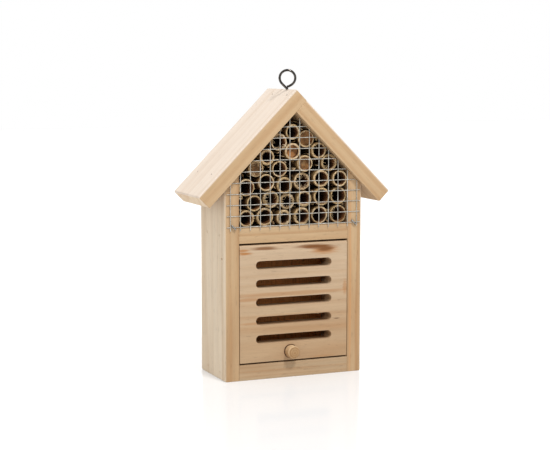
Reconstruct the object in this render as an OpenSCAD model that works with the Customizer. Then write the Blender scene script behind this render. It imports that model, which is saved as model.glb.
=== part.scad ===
// Insect hotel: a narrow pine house with a bamboo nesting loft behind wire mesh
// and a slotted flap door below. +X is right, +Y is back, +Z is up, Z 0 is the ground.

/* [Body] */
// Outside width over the two side walls
body_w = 113.4; // [90:0.2:220]
// Depth of the walls from front edge to back edge
body_d = 52; // [40:0.5:160]
// Height of the roof ridge above the ground
ridge_z = 220; // [170:1:400]
// Height of the shelf's underside above the ground
shelf_z = 104.8; // [80:0.2:220]
// Bevel that takes the sharpness off the outer board edges
ease = 0.8; // [0.2:0.1:2]

/* [Boards] */
// Thickness of each side wall
wall_t = 11.6; // [8:0.2:24]
// Thickness of the floor board
floor_t = 12; // [8:0.2:24]
// Thickness of the shelf board
shelf_t = 12; // [8:0.2:24]
// Thickness of the plywood back panel
back_t = 4; // [2:0.5:12]
// Gap all round the edge of the back panel
back_gap = 0.2; // [0.1:0.05:1]

/* [Roof] */
// Thickness of both roof boards
roof_t = 12; // [8:0.2:24]
// Length of each slope from ridge to eave
slope_len = 111.2; // [80:0.5:260]
// Steepness of the roof
roof_pitch = 45; // [35:1:55]
// How far the roof stands out past the front edges of the walls
roof_front = 4.1; // [0:0.1:30]
// How far the roof stands out past the back of the walls
roof_back = 0; // [0:0.1:30]

/* [Door] */
// Thickness of the door board
door_t = 12; // [8:0.2:20]
// Gap on each side of the door
door_side_gap = 0.4; // [0.2:0.1:2]
// Gap between the shelf and the top of the door
door_top_gap = 1.5; // [1.2:0.1:4]
// Gap between the floor board and the bottom of the door
door_bottom_gap = 1.2; // [0.6:0.1:4]
// Radius planed on the top front edge, so that it clears the shelf as it swings
door_round = 1.5; // [0.5:0.1:3]
// Number of slots for the insects
slot_count = 5; // [1:1:8]
// Length of a slot over its round ends
slot_len = 63; // [20:1:160]
// Height of a slot
slot_h = 6.4; // [3:0.1:10]
// Distance from one slot to the next
slot_pitch = 14.2; // [8:0.1:30]
// Height of the lowest slot's middle above the bottom of the door
slot_low = 17.6; // [10:0.1:40]
// Diameter of the dowel knob
knob_d = 10; // [5:0.5:16]
// How far the knob stands out of the door
knob_out = 6; // [3:0.5:20]
// How deep the knob is glued into the door
knob_in = 8; // [3:0.5:10]
// Radial room for glue round the knob
knob_glue = 0.05; // [0.02:0.01:0.2]
// Height of the knob's middle above the bottom of the door
knob_up = 6.6; // [5.5:0.1:12]
// Distance of the knob to the right of the middle
knob_side = -2.6; // [-20:0.1:20]

/* [Hinge] */
// Diameter of the two pins that the door swings on
pin_d = 2; // [1.2:0.1:4]
// Radial running clearance of a pin in the door
pin_run = 0.05; // [0.02:0.01:0.1]
// Radial clearance of a driven pin or brad in its hole
drive_fit = 0.02; // [0.01:0.01:0.05]
// Depth of the pin hole in the door's edge
pin_in = 10; // [5:0.5:20]
// How far the pin's end is set under the wall's face
pin_set = 0.5; // [0:0.1:2]
// Room left past the pin's end in the door
pin_end = 0.5; // [0.2:0.1:3]
// Distance of the pins below the top of the door
pin_down = 10; // [6:0.5:12]
// Side of the square stop strip behind the door's lower edge
stop_side = 6; // [4:0.5:12]
// Gap between the shut door and the stop strip
stop_gap = 0.3; // [0.1:0.1:1]
// Gap between each end of the stop strip and the wall
stop_end = 8; // [0.5:0.5:30]

/* [Bamboo] */
// Outside diameter of an average bamboo tube
tube_od = 13.2; // [9:0.1:20]
// Steps by which single tubes are thicker or thinner than the average
tube_step = 0.25; // [0:0.05:0.5]
// Wall of an average bamboo tube
tube_wall = 1.5; // [0.8:0.1:3]
// Gap left where two tubes lie against each other
tube_gap = 0.2; // [0.1:0.05:0.6]
// How much thicker or thinner than average the wall of a single tube may be
tube_wall_step = 0.35; // [0:0.05:0.5]
// Least that a cut end stands back from the walls' front edges
tube_flush = 0.3; // [0.2:0.1:5]
// How much further back than that a single tube may lie
tube_setback = 2.4; // [0:0.1:8]
// Gap between the tubes and the back panel
tube_back = 0.4; // [0.1:0.1:5]
// Thickness of the natural partition inside a tube
node_t = 1.6; // [0.8:0.1:4]
// Depth of the partition in the few tubes that are closed near the front
node_shallow = 3; // [1:0.5:10]
// Depth of the partition in an average one of the other tubes
node_deep = 33; // [12:0.5:120]
// How much nearer or deeper than that a single partition may lie
node_step = 4; // [0:0.5:8]
// Diameter of the thin reed wedged beside the tubes
reed_d = 3.6; // [2:0.1:5]
// Bore of the thin reed
reed_bore = 1.4; // [0.8:0.1:3]
// How far the reed's end stands back from the walls' front edges
reed_back = 2; // [0.2:0.1:8]

/* [Mesh] */
// Thickness of the mesh wire
wire_d = 0.8; // [0.5:0.05:1.4]
// Distance between upright wires
mesh_pitch_x = 8.05; // [5:0.05:20]
// Distance between level wires
mesh_pitch_z = 8.28; // [5:0.02:20]
// Distance of the outermost upright wires in from the sides of the body
mesh_inset = 4.4; // [1:0.1:10]
// Height of the lowest level wire above the shelf
mesh_up = 0.6; // [0.4:0.1:6]
// Length of the cut wire ends that stand past the last crossing
mesh_stub = 2.8; // [0.5:0.1:6]
// Gap between the cut wires and the roof's underside
mesh_cut = 0.9; // [0.3:0.1:4]
// How far two wires are pressed into each other where they are welded
mesh_weld = 0.1; // [0.05:0.01:0.3]
// Gap between the mesh and the wood behind it
mesh_off = 0.05; // [0.02:0.01:1]
// Wire diameter of the two staples
staple_d = 1; // [0.6:0.1:1.6]
// Width of a staple over the middles of its legs
staple_w = 4.4; // [3:0.1:10]
// Length of a staple's legs inside the wood
staple_in = 7; // [3:0.5:15]
// Distance of a staple's middle from the outermost upright wire
staple_side = 2.6; // [1.5:0.1:5]

/* [Hanging eye] */
// Wire diameter of the screw eye
eye_wire = 1.9; // [1:0.1:4]
// Outside diameter of the ring
eye_d = 13.8; // [8:0.1:40]
// Height of the ring's middle above the ridge
eye_up = 8.4; // [7:0.1:30]
// Distance of the eye behind the front edges of the walls
eye_back = 13.2; // [6:0.1:80]
// Turn of the ring about its shank
eye_turn = -20; // [-90:1:90]
// Length of the shank inside the roof
eye_in = 13; // [6:0.5:15]

/* [Brads] */
// Diameter of the brads
brad_d = 1; // [0.6:0.1:2]
// Diameter of a brad's head
brad_head = 1.6; // [1.2:0.1:4]
// Thickness of a brad's head
head_t = 0.5; // [0.3:0.1:1]
// Depth that the heads are punched below the surface
brad_set = 0.3; // [0:0.1:1]
// Length of a brad inside the second board
brad_bite = 10; // [6:0.5:25]
// Distance of the outer brads from the front and the back
brad_edge = 11; // [6:0.5:30]

/* [Hidden] */
$fn = 48;
half_w = body_w / 2;
inner_x = half_w - wall_t;
y_front = -body_d / 2;
y_back = body_d / 2;
chamber_back = y_back - back_t;
shelf_top = shelf_z + shelf_t;
under_ridge = ridge_z - roof_t / cos(roof_pitch);
tall = ridge_z + slope_len;

door_w = 2 * (inner_x - door_side_gap);
door_z = floor_t + door_bottom_gap;
door_h = shelf_z - door_top_gap - door_z;
pin_y = y_front + door_t / 2;
pin_z = door_z + door_h - pin_down;
pin_len = wall_t - pin_set + door_side_gap + pin_in - pin_end;
eye_y = y_front + eye_back;
ridge_brads_y = [(y_front - roof_front + eye_y) / 2, (y_back + roof_back + eye_y) / 2];

wire_r = wire_d / 2;
level_y = y_front - mesh_off - wire_r;
upright_y = level_y - wire_d + mesh_weld;
mesh_x = half_w - mesh_inset;
mesh_z = shelf_top + mesh_up;
upright_count = floor(2 * mesh_x / mesh_pitch_x + 0.05) + 1;
level_count = floor((under_ridge - mesh_cut - mesh_pitch_z / 2 - mesh_z) / mesh_pitch_z) + 1;
outer_x = (upright_count - 1) / 2 * mesh_pitch_x;
staple_x = outer_x + (outer_x - inner_x > wall_t / 2 ? -1 : 1) * staple_side;

// Bamboo tubes layer by layer from the shelf up: steps thicker or thinner than the average
tube_rows = [
    [-1, 4, -4, 1, 3, 3],
    [-3, 0, -3, -2, 3, 2],
    [1, 1, -2, 2, 1, -1],
    [-3, -3, 0, 0],
    [-4, 0, -3],
    [0, 1],
    [-5],
];
// Free room left at the left end of each layer
row_inset = [0, 6.2, 0, 4, 2, 2, 0];
// Tubes whose partition lies just behind the cut end
tube_shallow = [19, 21, 24, 27];

// Height of the roof's underside above a point at x
function under(x) = under_ridge - abs(x) * tan(roof_pitch);
// Highest place for the middle of a tube of radius r under the roof
function roof_z(x, r) = under(x) - (r + tube_gap) / cos(roof_pitch);
function sum(v, n, i = 0) = i < n ? v[i] + sum(v, n, i + 1) : 0;
// Height at which a tube of radius r at x comes to rest on the tubes in P or on the shelf
function rest_z(P, x, r) = max(concat([shelf_top + r + tube_gap],
    [for (p = P) let (d = abs(x - p[0]), s = r + p[2] + tube_gap)
        if (d < s) p[1] + sqrt(s * s - d * d)]));
function fits(P, x, r) = rest_z(P, x, r) <= roof_z(x, r);
// Furthest place from the middle where a tube fits, found by halving the span
function nestle(P, side, r, lo, hi, n) = n == 0 ? lo :
    let (m = (lo + hi) / 2, inside = fits(P, side * m, r))
    nestle(P, side, r, inside ? m : lo, inside ? hi : m, n - 1);
function far(P, side, r) = let (w = inner_x - r - tube_gap)
    fits(P, side * w, r) ? w : fits(P, 0, r) ? nestle(P, side, r, 0, w, 14) : -1;
function row_ods(k, n) = [for (i = [0:1:n - 1]) tube_od + tube_step * tube_rows[k][i]];
function row_span(P, k, n) = let (o = row_ods(k, n), a = o[0] / 2, b = o[n - 1] / 2)
    [row_inset[k] - far(P, -1, a) - a, far(P, 1, b) + b];
function row_count(P, k, n) = n == 0 ? 0 : let (s = row_span(P, k, n))
    sum(row_ods(k, n), n) + (n - 1) * tube_gap <= s[1] - s[0] + 0.001 ? n : row_count(P, k, n - 1);
function row_tubes(P, k, n) = n == 0 ? [] : let (o = row_ods(k, n), s = row_span(P, k, n),
    g = n > 1 ? (s[1] - s[0] - sum(o, n)) / (n - 1) : 0)
    [for (i = [0:1:n - 1]) let (x = n > 1 ? s[0] + sum(o, i) + i * g + o[i] / 2 : (s[0] + s[1]) / 2)
        [x, rest_z(P, x, o[i] / 2), o[i] / 2, k]];
function pile(k = 0, P = []) = k == len(tube_rows) ? P :
    pile(k + 1, concat(P, row_tubes(P, k, row_count(P, k, len(tube_rows[k])))));
// Middle of each tube in X and Z, its radius and its layer
tubes = pile();

function tube_name(i) = str("bamboo_tube_", i < 9 ? "0" : "", i + 1);
// Front end, length, bore radius and depth of the partition of tube i, uneven from one to the next
function tube_y(i) = y_front + tube_flush + tube_setback * (0.5 + 0.5 * sin(101 * i));
function tube_len(i) = chamber_back - tube_back - tube_y(i);
function tube_bore(i) = tubes[i][2] - tube_wall - tube_wall_step * sin(53 * i);
function is_shallow(i) = len([for (t = tube_shallow) if (t == i + 1) t]) > 0;
function node_at(i) = is_shallow(i) ? node_shallow :
    min(node_deep + node_step * sin(67 * i), tube_len(i) - 2 * node_t);

// Extrudes an outline drawn in X and Z from y0 to y1
module along_y(y0, y1) {
    translate([0, y1, 0]) rotate([90, 0, 0]) linear_extrude(height = y1 - y0) children();
}

// Puts its children on the right slope: x runs down from the ridge, z is square to the roof
module on_slope(side) {
    mirror([side < 0 ? 1 : 0, 0, 0]) translate([0, 0, ridge_z]) rotate([0, roof_pitch, 0]) children();
}

// A brad with its head up at z 0, or the hole for it with grow as radial clearance
module brad(length, grow = 0) {
    translate([0, 0, -brad_set - length - grow]) cylinder(d = brad_d + 2 * grow, h = length + grow);
    translate([0, 0, -brad_set - head_t])
        cylinder(d = brad_head + 2 * grow, h = head_t + (grow > 0 ? brad_set + 1 : 0));
}

// Brads driven square through the roof: two into each wall, two into the butted end at the ridge
module at_roof_brads(grow = 0) {
    length = roof_t + brad_bite - brad_set;
    middle = half_w - wall_t / 2 + (roof_t + brad_bite / 2) * sin(roof_pitch);
    for (side = [-1, 1], y = [y_front + brad_edge, y_back - brad_edge])
        on_slope(side) translate([middle / cos(roof_pitch), y, 0]) brad(length, grow);
    for (y = ridge_brads_y) on_slope(-1) translate([roof_t / 2, y, 0]) brad(length, grow);
}

// Brads driven through the walls into the ends of the floor board and the shelf
module at_wall_brads(grow = 0) {
    for (side = [-1, 1], y = [y_front + brad_edge, chamber_back - brad_edge])
        for (z = [floor_t / 2, shelf_z + shelf_t / 2]) translate([side * half_w, y, z])
            rotate([0, side * 90, 0]) brad(wall_t + brad_bite - brad_set, grow);
}

// Brads driven through the back panel into the back edges of the floor board and the shelf
module at_back_brads(grow = 0) {
    for (side = [-1, 0, 1], z = [floor_t / 2, shelf_z + shelf_t / 2])
        translate([side * (inner_x - brad_edge), y_back, z]) rotate([-90, 0, 0])
            brad(back_t + brad_bite - brad_set, grow);
}

// A staple across the lowest level wire on each side wall
module at_staples(grow = 0) {
    crown_y = level_y - wire_r - staple_d / 2 - mesh_off;
    for (side = [-1, 1]) translate([side * staple_x, 0, mesh_z]) rotate([0, 45, 0]) {
        for (leg = [-1, 1]) {
            translate([leg * staple_w / 2, crown_y, 0]) rotate([-90, 0, 0])
                cylinder(d = staple_d + 2 * grow, h = y_front - crown_y + staple_in + grow);
            translate([leg * staple_w / 2, crown_y, 0]) sphere(d = staple_d + 2 * grow);
        }
        translate([-staple_w / 2, crown_y, 0]) rotate([0, 90, 0])
            cylinder(d = staple_d + 2 * grow, h = staple_w);
    }
}

// Headless hinge pin on one side, driven through the wall into the door's edge
module at_pin(side, grow = 0) {
    translate([side * (half_w - pin_set - pin_len), pin_y, pin_z]) rotate([0, side * 90, 0])
        cylinder(d = pin_d + 2 * grow, h = pin_len + (grow > 0 ? pin_set + 1 : 0));
}

// Side wall of solid pine, grain upright, its top cut to the slope of the roof
module wall(side) {
    difference() {
        intersection() {
            mirror([side < 0 ? 1 : 0, 0, 0]) linear_extrude(height = tall) polygon([
                [inner_x, y_front], [half_w - ease, y_front], [half_w, y_front + ease],
                [half_w, y_back - ease], [half_w - ease, y_back], [inner_x, y_back]]);
            mirror([side < 0 ? 1 : 0, 0, 0]) along_y(y_front - 1, y_back + 1) polygon([
                [inner_x - 1, 0], [half_w - ease, 0], [half_w, ease],
                [half_w, under(half_w)], [inner_x - 1, under(inner_x - 1)]]);
        }
        at_wall_brads(drive_fit);
        at_roof_brads(drive_fit);
        at_staples(drive_fit);
        at_pin(side, drive_fit);
    }
}

module wall_left() {
    color("burlywood") wall(-1);
}

module wall_right() {
    color("tan") wall(1);
}

// Floor board, butted between the walls and nailed through them
module floor_board() {
    color("wheat") difference() {
        translate([-inner_x, y_front, 0]) cube([2 * inner_x, chamber_back - y_front, floor_t]);
        at_wall_brads(drive_fit);
        at_back_brads(drive_fit);
    }
}

// Shelf between the loft and the chamber behind the door
module shelf_board() {
    color("navajowhite") difference() {
        translate([-inner_x, y_front, shelf_z]) cube([2 * inner_x, chamber_back - y_front, shelf_t]);
        at_wall_brads(drive_fit);
        at_back_brads(drive_fit);
    }
}

// Thin plywood back, let in between the walls and under the roof
module back_panel() {
    edge = inner_x - back_gap;
    drop = back_gap / cos(roof_pitch);
    color("peru") difference() {
        along_y(chamber_back, y_back) polygon([
            [-edge, 0], [edge, 0], [edge, under(edge) - drop],
            [0, under_ridge - drop], [-edge, under(edge) - drop]]);
        at_back_brads(drive_fit);
    }
}

// Left roof board: runs up to the ridge and laps over the end of the right one
module roof_board_left() {
    seam_x = roof_t / (2 * sin(roof_pitch));
    seam_z = ridge_z - roof_t / (2 * cos(roof_pitch));
    eave_x = slope_len * cos(roof_pitch);
    eave_z = ridge_z - slope_len * sin(roof_pitch);
    in_x = roof_t * sin(roof_pitch);
    in_z = roof_t * cos(roof_pitch);
    cx = ease * cos(roof_pitch);
    cz = ease * sin(roof_pitch);
    color("moccasin") difference() {
        along_y(y_front - roof_front, y_back + roof_back) polygon([
            [0, ridge_z], [seam_x, seam_z], [-eave_x + in_x + cx, eave_z - in_z + cz],
            [-eave_x + in_x - cz, eave_z - in_z + cx],
            [-eave_x + cz, eave_z - cx], [-eave_x + cx, eave_z + cz]]);
        at_roof_brads(drive_fit);
        eye_shank(drive_fit);
    }
}

// Right roof board: its square upper end butts against the underside of the left one
module roof_board_right() {
    seam_x = roof_t / (2 * sin(roof_pitch));
    seam_z = ridge_z - roof_t / (2 * cos(roof_pitch));
    eave_x = slope_len * cos(roof_pitch);
    eave_z = ridge_z - slope_len * sin(roof_pitch);
    in_x = roof_t * sin(roof_pitch);
    in_z = roof_t * cos(roof_pitch);
    cx = ease * cos(roof_pitch);
    cz = ease * sin(roof_pitch);
    color("bisque") difference() {
        along_y(y_front - roof_front, y_back + roof_back) polygon([
            [seam_x, seam_z], [eave_x - cx, eave_z + cz], [eave_x - cz, eave_z - cx],
            [eave_x - in_x + cz, eave_z - in_z + cx],
            [eave_x - in_x - cx, eave_z - in_z + cz], [0, under_ridge]]);
        at_roof_brads(drive_fit);
    }
}

// Flap door of one pine board with routed slots, a blind hole for the knob
// and one in each edge for the pins
module door_panel() {
    color("sandybrown") difference() {
        translate([0, 0, door_z]) along_y(y_front, y_front + door_t) difference() {
            translate([-door_w / 2, 0]) square([door_w, door_h]);
            for (i = [0:slot_count - 1]) translate([0, slot_low + i * slot_pitch]) {
                translate([-(slot_len - slot_h) / 2, -slot_h / 2]) square([slot_len - slot_h, slot_h]);
                for (end = [-1, 1]) translate([end * (slot_len - slot_h) / 2, 0]) circle(d = slot_h);
            }
        }
        translate([-door_w / 2 - 1, y_front, door_z + door_h]) rotate([0, 90, 0]) difference() {
            translate([-door_round, -door_round, 0]) cube([2 * door_round, 2 * door_round, door_w + 2]);
            translate([door_round, door_round, -1]) cylinder(r = door_round, h = door_w + 4);
        }
        translate([knob_side, y_front - 1, door_z + knob_up]) rotate([-90, 0, 0])
            cylinder(d = knob_d + 2 * knob_glue, h = 1 + knob_in + 0.2);
        for (side = [-1, 1]) translate([side * (door_w / 2 - pin_in), pin_y, pin_z])
            rotate([0, side * 90, 0]) cylinder(d = pin_d + 2 * pin_run, h = pin_in + 1);
    }
}

// Knob: a short beech dowel with a bevelled end, glued into the door
module door_knob() {
    long = knob_in + knob_out;
    color("chocolate") translate([knob_side, y_front + knob_in, door_z + knob_up]) rotate([90, 0, 0])
        rotate_extrude() polygon([
            [0, 0], [knob_d / 2, 0], [knob_d / 2, long - ease], [knob_d / 2 - ease, long], [0, long]]);
}

// Strip glued on the floor board, where the shut door comes to rest
module door_stop() {
    color("darkkhaki") translate([-inner_x + stop_end, y_front + door_t + stop_gap, floor_t])
        cube([2 * (inner_x - stop_end), stop_side, stop_side]);
}

module hinge_pin_left() {
    color("gray") at_pin(-1);
}

module hinge_pin_right() {
    color("gray") at_pin(1);
}

// Shank of the screw eye, or with grow the hole for it in the roof
module eye_shank(grow = 0) {
    translate([0, eye_y, ridge_z - eye_in - grow])
        cylinder(d = eye_wire + 2 * grow, h = eye_in + (grow > 0 ? 1 + grow : 0));
}

// Screw eye of bent steel wire: the ring runs straight down to the shank on the left
// and its free end stops close beside it
module hanging_eye() {
    mean = (eye_d - eye_wire) / 2;
    leave = 180 + asin(mean / eye_up);
    stop = 82;
    run = sqrt(eye_up * eye_up - mean * mean);
    bend = 0.06;
    color("dimgray") {
        translate([0, eye_y, ridge_z]) rotate([0, 0, eye_turn]) {
            translate([0, 0, eye_up]) rotate([90, 0, 0]) {
                rotate([0, 0, -stop]) rotate_extrude(angle = leave + stop)
                    translate([mean, 0]) circle(d = eye_wire);
                rotate([0, 0, leave]) translate([mean, 0, 0]) {
                    rotate([-90, 0, 0]) cylinder(d = eye_wire, h = run);
                    sphere(d = eye_wire + bend);
                }
            }
            sphere(d = eye_wire + bend);
        }
        eye_shank();
    }
}

// Upright wires of the galvanised mesh, cut off to the line of the roof
module mesh_uprights() {
    color("silver") for (i = [0:upright_count - 1]) {
        x = (i - (upright_count - 1) / 2) * mesh_pitch_x;
        low = mesh_z - mesh_stub;
        translate([x, upright_y, low]) cylinder(d = wire_d, h = under(x) - mesh_cut - low);
    }
}

// Level wires of the mesh, which lie against the wood behind the uprights
module mesh_levels() {
    color("lightgray") for (k = [0:level_count - 1]) {
        z = mesh_z + k * mesh_pitch_z;
        reach = min(outer_x + mesh_stub, (under_ridge - z) / tan(roof_pitch) - mesh_cut - wire_r);
        translate([-reach, level_y, z]) rotate([0, 90, 0]) cylinder(d = wire_d, h = 2 * reach);
    }
}

module mesh_staples() {
    color("slategray") at_staples();
}

module roof_brads() {
    color("dimgray") at_roof_brads();
}

module wall_brads() {
    color("dimgray") at_wall_brads();
}

module back_brads() {
    color("dimgray") at_back_brads();
}

// Length of bamboo, open at both ends, with the natural partition left inside
module bamboo_tube(i) {
    color("darkkhaki") translate([tubes[i][0], tube_y(i), tubes[i][1]]) rotate([-90, 0, 0]) difference() {
        cylinder(r = tubes[i][2], h = tube_len(i));
        translate([0, 0, -1]) cylinder(r = tube_bore(i), h = node_at(i) + 1);
        translate([0, 0, node_at(i) + node_t]) cylinder(r = tube_bore(i), h = tube_len(i) - node_at(i));
    }
}

// Thin reed beside the left wall, wedged up under the first tube of the third layer if that is near
module thin_reed() {
    above = [for (t = tubes) if (t[3] == 2) t][0];
    x = -inner_x + tube_gap + reed_d / 2;
    away = above[0] - x;
    reach = above[2] + reed_d / 2 + tube_gap;
    low = rest_z([for (t = tubes) if (t[3] < 2) t], x, reed_d / 2);
    z = away < reach ? max(low, above[1] - sqrt(reach * reach - away * away)) : low;
    length = chamber_back - y_front - reed_back - tube_back;
    color("khaki") translate([x, y_front + reed_back, z]) rotate([-90, 0, 0]) difference() {
        cylinder(d = reed_d, h = length);
        translate([0, 0, -1]) cylinder(d = reed_bore, h = length + 2);
    }
}

wall_left();
wall_right();
floor_board();
shelf_board();
back_panel();
roof_board_left();
roof_board_right();
door_panel();
door_knob();
door_stop();
hinge_pin_left();
hinge_pin_right();
hanging_eye();
mesh_uprights();
mesh_levels();
mesh_staples();
roof_brads();
wall_brads();
back_brads();
thin_reed();
for (i = [0:len(tubes) - 1]) bamboo_tube(i);
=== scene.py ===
import math
import random

import bmesh
import bpy
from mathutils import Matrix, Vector


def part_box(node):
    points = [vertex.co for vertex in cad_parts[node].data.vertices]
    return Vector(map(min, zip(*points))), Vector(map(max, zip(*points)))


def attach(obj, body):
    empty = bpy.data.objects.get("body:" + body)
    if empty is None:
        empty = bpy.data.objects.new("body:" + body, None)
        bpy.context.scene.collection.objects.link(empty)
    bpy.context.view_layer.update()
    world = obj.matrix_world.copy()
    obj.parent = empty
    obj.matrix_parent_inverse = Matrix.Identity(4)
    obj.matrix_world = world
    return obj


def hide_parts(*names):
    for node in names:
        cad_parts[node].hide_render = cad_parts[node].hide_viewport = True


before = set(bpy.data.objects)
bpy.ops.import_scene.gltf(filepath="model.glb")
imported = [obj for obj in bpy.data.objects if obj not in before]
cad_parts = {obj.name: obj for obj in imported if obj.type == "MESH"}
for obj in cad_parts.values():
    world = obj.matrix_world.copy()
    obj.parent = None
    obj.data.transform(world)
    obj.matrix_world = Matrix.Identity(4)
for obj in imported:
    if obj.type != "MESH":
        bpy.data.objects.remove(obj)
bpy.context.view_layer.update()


# ---------------------------------------------------------------------------
# Side walls. Two boards of sawn and lightly sanded pine with upright grain.
# They are the posts of the house: the floor, shelf, door pins and roof are all
# fixed to them. Their outer corners are eased by a few strokes of sandpaper.
# ---------------------------------------------------------------------------

def swatch(red, green, blue):
    """A colour named as it looks on a paint card, 0 to 255, turned into light."""
    parts = [c / 255 for c in (red, green, blue)]
    return tuple(c / 12.92 if c < 0.0405 else ((c + 0.055) / 1.055) ** 2.4 for c in parts) + (1.0,)


def many(value):
    """True for what holds a direction or a colour, not one number."""
    if isinstance(value, Signal):
        return value.socket.type in ("VECTOR", "RGBA")
    return hasattr(value, "__len__")


class Signal:
    """The output of a node, which can be used in sums."""

    def __init__(self, plan, socket):
        self.plan, self.socket = plan, socket

    def sum(self, operation, other, turned=False):
        pair = (other, self) if turned else (self, other)
        if not many(self) and not many(other):
            return self.plan.node("ShaderNodeMath", {"operation": operation}, dict(enumerate(pair)))
        return self.plan.node("ShaderNodeVectorMath", {"operation": operation}, dict(enumerate(pair)))

    def __add__(self, other):
        return self.sum("ADD", other)

    def __radd__(self, other):
        return self.sum("ADD", other, True)

    def __sub__(self, other):
        return self.sum("SUBTRACT", other)

    def __rsub__(self, other):
        return self.sum("SUBTRACT", other, True)

    def __mul__(self, other):
        return self.sum("MULTIPLY", other)

    def __rmul__(self, other):
        return self.sum("MULTIPLY", other, True)

    def __truediv__(self, other):
        return self.sum("DIVIDE", other)

    def __rtruediv__(self, other):
        return self.sum("DIVIDE", other, True)

    def __pow__(self, other):
        return self.sum("POWER", other)

    def on(self, direction):
        """How far it reaches along a direction."""
        return self.plan.node("ShaderNodeVectorMath", {"operation": "DOT_PRODUCT"},
                              {0: self, 1: tuple(direction)}, "Value")

    def length(self):
        return self.plan.node("ShaderNodeVectorMath", {"operation": "LENGTH"}, {0: self}, "Value")

    def math(self, operation):
        return self.plan.node("ShaderNodeMath", {"operation": operation}, {0: self})

    def step(self, low, high):
        """Goes softly from 0 at low to 1 at high, whichever of them is the greater."""
        return self.plan.node("ShaderNodeMapRange", {"interpolation_type": "SMOOTHSTEP"},
                              {"Value": self, "From Min": low, "From Max": high})


class Plan:
    """A tree of nodes, for a finish or for a shape."""

    def __init__(self, tree):
        self.tree = tree

    def node(self, kind, settings=None, sockets=None, out=0):
        """Any node: its settings first, then the value or link of each socket."""
        made = self.tree.nodes.new(kind)
        for key, value in (settings or {}).items():
            if key != "stops":
                setattr(made, key, value)
                continue
            ramp = made.color_ramp.elements
            while len(ramp) < len(value):
                ramp.new(1.0)
            for stop, (place, level) in zip(ramp, value):
                stop.position, stop.color = place, (level, level, level, 1.0)
        for key, value in (sockets or {}).items():
            self.join(value, made.inputs[key])
        return Signal(self, made.outputs[out])

    def join(self, value, socket):
        """Links a signal to a socket, or sets the socket to a value."""
        if isinstance(value, Signal):
            self.tree.links.new(value.socket, socket)
        elif socket.type == "VECTOR" and not hasattr(value, "__len__"):
            socket.default_value = (value, value, value)
        elif hasattr(value, "__len__") and not isinstance(value, str):
            socket.default_value = tuple(value)
        else:
            socket.default_value = value

    def noise(self, where, scale, detail=2.0, rough=0.5):
        return self.node("ShaderNodeTexNoise", None,
                         {"Vector": where, "Scale": scale, "Detail": detail, "Roughness": rough})

    def ramp(self, value, stops):
        return self.node("ShaderNodeValToRGB", {"stops": stops}, {"Fac": value})

    def blend(self, first, second, share, how="MIX"):
        return self.node("ShaderNodeMix", {"data_type": "RGBA", "blend_type": how},
                         {0: share, 6: first, 7: second}, 2)


class Finish(Plan):
    """A material. Even values go straight on its shader, and patterns are fed to it."""

    def __init__(self, name, **even):
        self.material = bpy.data.materials.new(name)
        self.material.use_nodes = True
        super().__init__(self.material.node_tree)
        self.shader = self.tree.nodes["Principled BSDF"]
        for key, value in even.items():
            self.shader.inputs[key.replace("_", " ")].default_value = value

    def place(self):
        return self.node("ShaderNodeTexCoord", None, None, "Object")

    def feed(self, **patterns):
        for key, value in patterns.items():
            self.join(value, self.shader.inputs[key.replace("_", " ")])

    def relief(self, height, strength, depth):
        self.feed(Normal=self.node("ShaderNodeBump", None,
                                   {"Height": height, "Strength": strength, "Distance": depth}))


PALE_WOOD = swatch(186, 157, 121)
DARK_WOOD = swatch(158, 112, 67)
# Paler tone for the walls' outer faces: painted sheen
SIDE_SHEEN_TONE = swatch(214, 198, 175)
END_SHADE = (0.80, 0.74, 0.66, 1.0)     # end grain is darker: this multiplies the wood's own tone


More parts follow.
